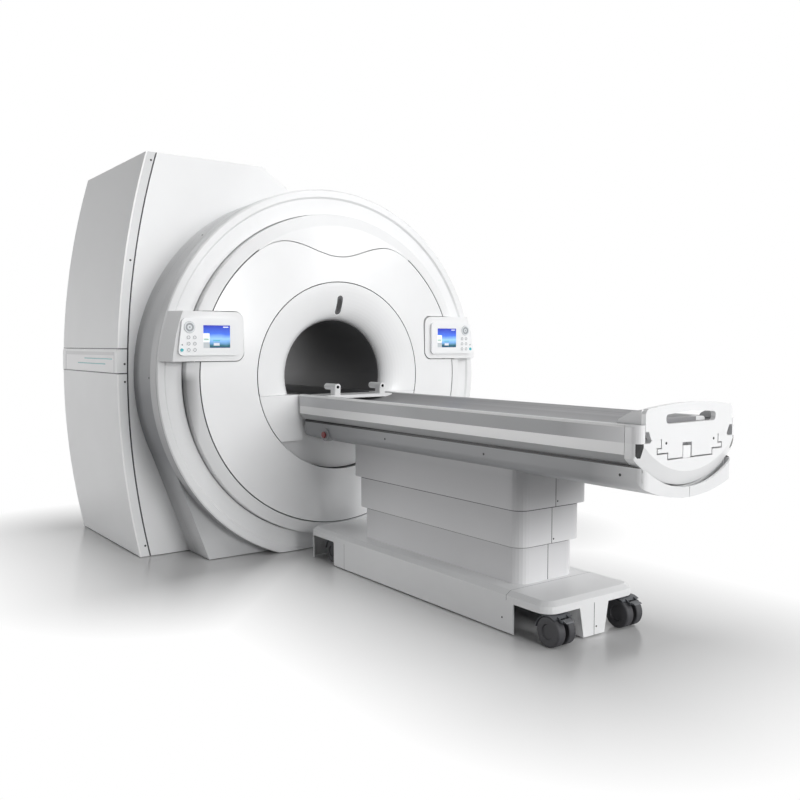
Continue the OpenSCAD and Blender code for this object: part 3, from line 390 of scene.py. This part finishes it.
def head_marks(n):
    """The dark holes of the two sockets."""
    return [(n.spot(0.14, 0.89, 0.0, 0.0082), BLACK)]


def end_cap_marks(n):
    """Painted shade on the sides level with the rails, fading into the white face, and a black
    patch of painted shadow below them.
    """
    inwards = n.rise(n.y, *along(-2.2725, -2.264))
    # Painted shade on the cap's sides, and a black patch of painted shadow below them
    side_shade = n.overlap(n.zone(x=(0.236, 0.28), z=(0.7895, 0.86)), inwards)
    painted_shadow_patch = n.zone(x=(0.2455, 0.28), y=(BEYOND_FOOT, ring_y - 2.256), z=(0.742, 0.7895))
    return [(side_shade, (0.82, 0.82, 0.83)), (painted_shadow_patch, BLACK)]


def end_plate_marks(n):
    """Grey grips behind the plate, and two screws."""
    grips = n.math("GREATER_THAN", n.y, ring_y - 2.2545)
    screws = n.spot(0.131, 0.785, 0.0, 0.0048)
    return [(grips, (0.45, 0.455, 0.465)), (screws, BLACK)]


def deck_marks(n):
    """A fine seam across the deck, near its foot end."""
    return [(n.zone(y=along(-1.6455, -1.6435), z=(0.1, 0.17)), SEAM)]


def cart_marks(n):
    """A fine vertical seam in the long skirts, and one in the middle of the ends."""
    skirt_seam = n.zone(x=(0.245, 0.26), y=along(-0.4905, -0.4885))
    end_seam = n.zone(x=(-0.0014, 0.0014))
    return [(skirt_seam, SEAM), (end_seam, DARK_SEAM)]


def drum_marks(n):
    """A fine seam, and painted shade that is darkest just under the bore's axis."""
    shade = n.overlap(n.fall(n.z, 0.85, 1.7), n.ranged(n.z, 0.35, 1.0, 0.1, 0.55))
    seam = n.zone(y=along(0.2445, 0.2455))
    return [(shade, (0.2, 0.205, 0.215)), (seam, (0.3, 0.3, 0.31))]


def hull_marks(n):
    """Painted shade over the hull, deepening from its foot end towards the gantry, under a black
    upper edge of painted shadow.
    """
    # The hull is darkened as painted shade, and its top edge blackened as painted shadow in the
    # gap
    past_foot = n.rise(n.y, *along(-2.3, -2.05))
    head = n.rise(n.y, *along(-1.7, -0.9))
    edge = n.zone(z=(0.709, 0.72))
    return [(past_foot, (0.34, 0.345, 0.355)), (head, (0.3, 0.305, 0.315)),
            (edge, (0.02, 0.02, 0.021))]


def estop_marks(n):
    """A darker rim round each button."""
    away = n.distance(n.math("SUBTRACT", n.y, ring_y - 0.328), n.math("SUBTRACT", n.z, 0.656))
    return [(n.within(away, 0.0125, 0.0145), (0.16, 0.01, 0.01))]


# Plain blocks on the screens: shares of the width, shares of the height, colour
SCREEN_BLOCKS = [
    ((0.0, 0.23), (0.25, 0.64), (0.85, 0.88, 0.9)),
    ((0.0, 0.23), (0.0, 0.25), (0.42, 0.45, 0.47)),
    ((0.02, 0.2), (0.33, 0.42), (0.35, 0.5, 0.42)),
    ((0.38, 0.6), (0.1, 0.22), (0.6, 0.62, 0.68)),
    ((0.36, 0.62), (0.3, 0.35), (0.1, 0.4, 0.5)),
    ((0.74, 0.94), (0.9, 0.94), (0.75, 0.8, 0.95)),
]


def display():
    """A lit screen: a blue field with a pale column and a few plain blocks."""
    n = Nodes("display")
    shader = n.add("ShaderNodeBsdfPrincipled", Roughness=0.12)
    near, far = SCREEN_X
    low, high = SCREEN_Z
    shift = n.math("MULTIPLY", n.math("GREATER_THAN", n.x, 0), near + far)
    u = n.math("DIVIDE", n.math("SUBTRACT", n.math("ADD", n.x, far), shift), far - near)
    v = n.math("DIVIDE", n.math("SUBTRACT", n.z, low), high - low)
    cloud = n.math("MULTIPLY_ADD", n.noise(18, 2.0), 0.14, -0.07)
    base = n.ramp(n.math("ADD", v, cloud), [
        (0.0, (0.01, 0.05, 0.16)), (0.1, (0.02, 0.11, 0.12)), (0.2, (0.12, 0.3, 0.55)),
        (0.4, (0.3, 0.55, 0.92)), (0.62, (0.06, 0.16, 0.72)), (1.0, (0.02, 0.03, 0.42))])
    for across, up, colour in SCREEN_BLOCKS:
        base = n.mixed(n.overlap(n.within(u, *across), n.within(v, *up)), base, colour)
    n.link(base, shader.inputs["Base Color"])
    n.link(base, shader.inputs["Emission Color"])
    shader.inputs["Emission Strength"].default_value = 0.45
    n.link(shader.outputs[0], n.out.inputs[0])
    return n.material


def light_glass():
    """Smoked glass over the bore, a little paler towards its rim."""
    window_z = bore_z + 0.38
    n = Nodes("window_glass")
    shader = n.add("ShaderNodeBsdfPrincipled", Roughness=0.1)
    away = n.distance(n.x, n.math("MULTIPLY", n.math("SUBTRACT", n.z, window_z), 0.4))
    tones = [(0.2, (0.012, 0.012, 0.014)), (0.9, (0.1, 0.1, 0.105))]
    n.link(n.ramp(n.rise(away, 0.01, 0.018), tones), shader.inputs["Base Color"])
    n.link(n.ranged(n.noise(30, 3.0), 0.08, 0.14), shader.inputs["Roughness"])
    shader.inputs["Coat Weight"].default_value = 0.5
    n.link(shader.outputs[0], n.out.inputs[0])
    return n.material


def cover(name, marks=None, colour=WHITE):
    """A glossy painted cover."""
    return plastic(name, colour, 0.3, coat=0.3, marks=marks)


def stage_cover(name, colour, above, shade, line=True):
    """A telescoping cover of the table's lift; above names the piece over it."""
    return plastic(name, colour, 0.42, marks=stage_marks(above, shade, line))


# Looks by the slot that the CAD names
SLOT_MATERIALS = {
    "white_cover": cover("white_cover", colour=FRONT_WHITE),
    "panel_white": plastic("panel_white", (0.95, 0.96, 0.97), 0.22, coat=0.4, marks=module_marks),
    "grey_trim": plastic("grey_trim", (0.42, 0.43, 0.445), 0.36, coat=0.15),
    "stage_grey": plastic("stage_grey", (0.72, 0.72, 0.73), 0.38, coat=0.1),
    "tunnel_grey": plastic("tunnel_grey", (0.13, 0.13, 0.135), 0.45),
    "window_glass": light_glass(),
    "display": display(),
    "dial_grey": plastic("dial_grey", (0.75, 0.78, 0.8), 0.3, marks=dial_marks),
    "teal_key": plastic("teal_key", (0.06, 0.5, 0.56), 0.25, coat=0.3),
    "estop_red": cover("estop_red", estop_marks, (0.2, 0.008, 0.008)),
    "steel": painted_metal("steel", (0.4, 0.42, 0.45), 0.45, 0.6),
    "coil_resin": plastic("coil_resin", (0.35, 0.35, 0.33), 0.6),
    "caster_grey": plastic("caster_grey", (0.075, 0.08, 0.09), 0.42),
    "wheel_rubber": plastic("wheel_rubber", (0.045, 0.045, 0.05), 0.6, bump=0.15),
    "pedal_grey": plastic("pedal_grey", (0.09, 0.095, 0.105), 0.4),
}
# Looks of single nodes, which go before those of their slots
NODE_MATERIALS = {
    "drum_cover": plastic("drum_white", WHITE, 0.5, marks=drum_marks),
    "side_band_left": cover("band_white", band_marks),
    "side_band_right": cover("band_white_right"),
    "side_rails": plastic("rail_grey", (0.38, 0.385, 0.395), 0.42, coat=0.05, marks=rail_marks),
    "hull_left": plastic("hull_white", WHITE, 0.45, coat=0.05, marks=hull_marks),
    "side_upper_left": plastic("side_white", WHITE, 0.42, coat=0.1, marks=side_marks),
    "front_ring": cover("ring_white", ring_marks, FRONT_WHITE),
    "front_panel": cover("front_panel_white", front_seam_marks, PANEL_WHITE),
    "bore_funnel": cover("funnel_white", front_seam_marks, PANEL_WHITE),
    "front_frame": cover("front_frame_white", front_frame_marks, FRONT_WHITE),
    "cabinet_front": cover("cabinet_front_white", cabinet_front_marks),
    "table_frame": cover("table_frame_white", table_frame_marks, (0.95, 0.95, 0.95)),
    # The stages share one grey; their colours, lighter low down and darker under the hull, are
    # painted shade
    "stage_lower": stage_cover(
        "stage_lower_grey", (0.8, 0.8, 0.81), "stage_middle", (0.6, 0.6, 0.61)),
    "stage_middle": stage_cover(
        "stage_middle_grey", (0.72, 0.72, 0.73), "stage_upper", (0.5, 0.5, 0.51)),
    "stage_upper": stage_cover(
        "stage_upper_grey", (0.6, 0.6, 0.61), "hull_left", (0.38, 0.38, 0.39), line=False),
    "bore_bridge": plastic("bridge_grey", (0.2, 0.2, 0.21), 0.4),
    "cradle": plastic(
        "cradle_grey", (0.35, 0.35, 0.36), 0.45, grain=260, bump=0.25, marks=cradle_marks),
    "head_plate": cover("head_white", head_marks),
    "end_cap": cover("end_cap_white", end_cap_marks),
    "end_plate": cover("end_plate_white", end_plate_marks),
    "cart_deck": cover("deck_white", deck_marks),
    "cart_cover_left": cover("skirt_white", cart_marks),
    "cabinet_rear": plastic("rear_white", WHITE, 0.6),
}
SAME_LOOK = {
    "cart_cover_right": "cart_cover_left",
    "hull_right": "hull_left",
    "cabinet_top": "cabinet_rear",
    "rear_funnel": "cabinet_rear",
    "side_upper_right": "side_upper_left",
    "side_lower_left": "side_upper_left",
    "side_lower_right": "side_upper_left",
}
for node_name, model in SAME_LOOK.items():
    NODE_MATERIALS[node_name] = NODE_MATERIALS[model]


def dress_cad_nodes():
    for part in frame["record"]["subparts"]:
        node = frame["nodes"][part["node"]]
        node.data.materials.clear()
        node.data.materials.append(
            NODE_MATERIALS.get(part["node"]) or SLOT_MATERIALS[part["material_slot"]])


# Small pieces that the solids leave out

SCREW_RIM = plastic("screw_rim", (0.015, 0.015, 0.016), 0.5)
SCREW_HEAD = painted_metal("screw_head", (0.03, 0.031, 0.033), 0.55)
SCREW_SIDES = 24
# Share of the radius, and height over the surface, from the rim inwards
SCREW_PROFILE = [(1, 0.0003), (0.92, 0.0007), (0.7, 0.0004), (0.64, 0.0008)]
SCREW_CROWN = 0.0009


def add_screw(name, place, normal, radius, body):
    """A countersunk screw: a dark rim round a slotted head."""
    bm = bmesh.new()
    turn = Vector(normal).to_track_quat("Z", "Y").to_matrix().to_4x4()
    angles = [2 * math.pi * k / SCREW_SIDES for k in range(SCREW_SIDES)]
    rings = []
    for share, z in SCREW_PROFILE:
        r = radius * share
        rings.append([bm.verts.new((r * math.cos(a), r * math.sin(a), z)) for a in angles])
    for inner, outer in zip(rings[1:], rings):
        for k in range(SCREW_SIDES):
            after = (k + 1) % SCREW_SIDES
            face = bm.faces.new((outer[k], outer[after], inner[after], inner[k]))
            face.material_index = 0
    centre = bm.verts.new((0, 0, SCREW_CROWN))
    half = SCREW_SIDES // 2
    for k in range(SCREW_SIDES):
        face = bm.faces.new((rings[-1][k], rings[-1][(k + 1) % SCREW_SIDES], centre))
        # Two opposite pairs of segments make the slot
        face.material_index = 0 if k % half in (0, half - 1) else 1
    bm.transform(turn)
    mesh = bpy.data.meshes.new(name)
    bm.to_mesh(mesh)
    bm.free()
    mesh.materials.append(SCREW_RIM)
    mesh.materials.append(SCREW_HEAD)
    screw = bpy.data.objects.new(name, mesh)
    screw.location = place
    bpy.context.scene.collection.objects.link(screw)
    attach(screw, body)


# Screws down the return of the left side panels (x, z)
RETURN_SCREWS = [
    (-0.878, 2.051), (-0.995, 1.536), (-1.035, 1.009), (-1.035, 0.918), (-0.946, 0.06)]
# Screws on the drum's left flank (x, z, distance behind the ring's front plane)
DRUM_SCREWS = [(-0.99, 0.944, 0.124), (-0.669, 1.671, 0.195)]
HULL_SCREWS_Y = [-0.839, -1.51, -2.182]
# Screws beside the end seam of the two outer stages (node, body, height over its lower edge)
STAGE_SCREWS = [("stage_upper", "table", 0.02), ("stage_middle", "middle_stage", 0.016)]
CABINET_FRONT_Y = 0.345
TABLE_HALF_W = 0.25


def add_screws():
    front = (0, -1, 0)
    for k, (x, z) in enumerate(RETURN_SCREWS):
        add_screw(f"return_screw_{k}", (x, ring_y + CABINET_FRONT_Y, z), front, 0.0055, "gantry")
    for k, y in enumerate(HULL_SCREWS_Y):
        for side in (-1, 1):
            add_screw(f"hull_screw_{k}_{'lr'[side > 0]}",
                      (side * TABLE_HALF_W, ring_y + y, 0.68), (side, 0, 0), 0.0052, "table")
    for k, (x, z, y) in enumerate(DRUM_SCREWS):
        add_screw(f"drum_screw_{k}", (x, ring_y + y, z), (x, 0, z - bore_z), 0.0055, "gantry")
    for stage, body, rise in STAGE_SCREWS:
        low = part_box(stage)[0]
        add_screw(f"{stage}_screw", (0.01, low.y, low.z + rise), front, 0.0038, body)
    skirt_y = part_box("cart_cover_left")[0].y
    add_screw("front_skirt_screw", (0.012, skirt_y, 0.036), front, 0.0038, "cart")
    for side in (-1, 1):
        add_screw(f"skirt_screw_{'lr'[side > 0]}",
                  (side * TABLE_HALF_W, ring_y - 1.622, 0.058), (side, 0, 0), 0.004, "cart")


def add_drive_rail_end():
    """The flush end of the drive rail, which fills the notch in the end plate."""
    low, high = (-0.0388, ring_y - 2.2722, 0.7285), (0.0028, ring_y - 2.2135, 0.7705)
    bm = bmesh.new()
    bmesh.ops.create_cube(bm, size=1)
    for vert in bm.verts:
        vert.co = [a if c < 0 else b for a, b, c in zip(low, high, vert.co)]
    bmesh.ops.bevel(bm, geom=bm.edges[:], offset=0.0012, segments=3, affect="EDGES")
    mesh = bpy.data.meshes.new("drive_rail_end")
    bm.to_mesh(mesh)
    bm.free()
    mesh.materials.append(SLOT_MATERIALS["white_cover"])
    block = bpy.data.objects.new("drive_rail_end", mesh)
    bpy.context.scene.collection.objects.link(block)
    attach(block, "table")


# Stage

# Rays that see the plain white surroundings
WHITE_RAYS = ("Is Camera Ray", "Is Glossy Ray", "Is Transmission Ray")
FLOOR_HALF = 30
FLOOR_GREY = (0.7, 0.7, 0.7, 1)
# The floor is wholly white this far away from the footprints
FLOOR_WHITE_FROM = 0.85
# Footprints: half width, and both ends along the bore in the frame
GANTRY_FOOT = (1.0, 0.35, 1.75)
TABLE_FOOT = (0.25, -1.6, 0.35)
# Strength of the world's light on the object
AMBIENT = 0.05


def outside(n, half_w, y0, y1):
    """Distance on the floor from a rectangular footprint."""
    across = n.math("MAXIMUM", n.math("SUBTRACT", n.side, half_w), 0.0)
    along_y = n.math("ABSOLUTE", n.math("SUBTRACT", n.y, (y0 + y1) / 2))
    return n.distance(across, n.math("MAXIMUM", n.math("SUBTRACT", along_y, (y1 - y0) / 2), 0.0))


def make_floor():
    mesh = bpy.data.meshes.new("floor")
    signs = ((-1, -1), (1, -1), (1, 1), (-1, 1))
    corners = [(x * FLOOR_HALF, y * FLOOR_HALF, 0) for x, y in signs]
    mesh.from_pydata(corners, [], [(0, 1, 2, 3)])
    floor = bpy.data.objects.new("floor", mesh)
    bpy.context.scene.collection.objects.link(floor)
    n = Nodes("floor")
    shader = n.add("ShaderNodeBsdfPrincipled", Roughness=0.2)
    shader.inputs["Base Color"].default_value = FLOOR_GREY
    shader.inputs["Specular IOR Level"].default_value = 0.3
    glow = n.add("ShaderNodeEmission", Strength=1.0)
    path = n.add("ShaderNodeLightPath")
    # The floor turns white away from the two footprints, so that no horizon shows
    away = n.math("MINIMUM", outside(n, *GANTRY_FOOT), outside(n, *TABLE_FOOT))
    rays = path.outputs[WHITE_RAYS[0]]
    for kind in WHITE_RAYS[1:]:
        rays = n.math("MAXIMUM", rays, path.outputs[kind])
    mix = n.add("ShaderNodeMixShader")
    n.link(n.overlap(rays, n.rise(away, 0.0, FLOOR_WHITE_FROM)), mix.inputs[0])
    n.link(shader.outputs[0], mix.inputs[1])
    n.link(glow.outputs[0], mix.inputs[2])
    n.link(mix.outputs[0], n.out.inputs[0])
    mesh.materials.append(n.material)


def make_world():
    """White for the rays that see it, and dim for the light that falls on the object."""
    world = bpy.data.worlds.new("world")
    bpy.context.scene.world = world
    world.use_nodes = True
    tree = world.node_tree
    tree.nodes.clear()
    out = tree.nodes.new("ShaderNodeOutputWorld")
    seen = tree.nodes.new("ShaderNodeBackground")
    lit = tree.nodes.new("ShaderNodeBackground")
    seen.inputs["Strength"].default_value = 1.0
    seen.inputs["Color"].default_value = (1, 1, 1, 1)
    lit.inputs["Color"].default_value = (0.97, 0.98, 1, 1)
    lit.inputs["Strength"].default_value = AMBIENT
    path = tree.nodes.new("ShaderNodeLightPath")
    rays = path.outputs[WHITE_RAYS[0]]
    for kind in WHITE_RAYS[1:]:
        joined = tree.nodes.new("ShaderNodeMath")
        joined.operation = "MAXIMUM"
        tree.links.new(rays, joined.inputs[0])
        tree.links.new(path.outputs[kind], joined.inputs[1])
        rays = joined.outputs[0]
    mix = tree.nodes.new("ShaderNodeMixShader")
    tree.links.new(rays, mix.inputs[0])
    tree.links.new(lit.outputs[0], mix.inputs[1])
    tree.links.new(seen.outputs[0], mix.inputs[2])
    tree.links.new(mix.outputs[0], out.inputs[0])


def add_lamp(name, place, target, size, power):
    data = bpy.data.lights.new(name, "AREA")
    data.shape = "RECTANGLE"
    data.size, data.size_y = size
    data.energy = power
    lamp = bpy.data.objects.new(name, data)
    lamp.location = place
    lamp.rotation_euler = (Vector(target) - Vector(place)).to_track_quat("-Z", "Y").to_euler()
    bpy.context.scene.collection.objects.link(lamp)


def make_lamps():
    """Soft boxes: place, aim, size in metres and power in watts."""
    front, left = (0, 0, 1), (-1, 0.8, 1)
    add_lamp("front", (0.8, -14, 4.2), front, (6, 4.5), 895)
    add_lamp("front_right", (6, -9, 3), front, (3, 3), 62)
    add_lamp("front_high", (0, -6, 9), (0, -1, 0.5), (4, 3), 108)
    add_lamp("key", (5, -6, 5), front, (3, 3), 130)
    add_lamp("right", (3, -5, 8), front, (3, 3), 42)
    add_lamp("left_near", (-4.5, 8, 3), left, (3, 4), 6)
    add_lamp("left_far", (-8, 6, 0.9), left, (4, 1.6), 222)
    add_lamp("top", (0, -1, 7), (0, -0.9, 0), (5, 5), 60)


make_camera()
dress_cad_nodes()
add_screws()
add_drive_rail_end()
make_floor()
make_world()
make_lamps()

bpy.context.scene.view_settings.view_transform = "Standard"
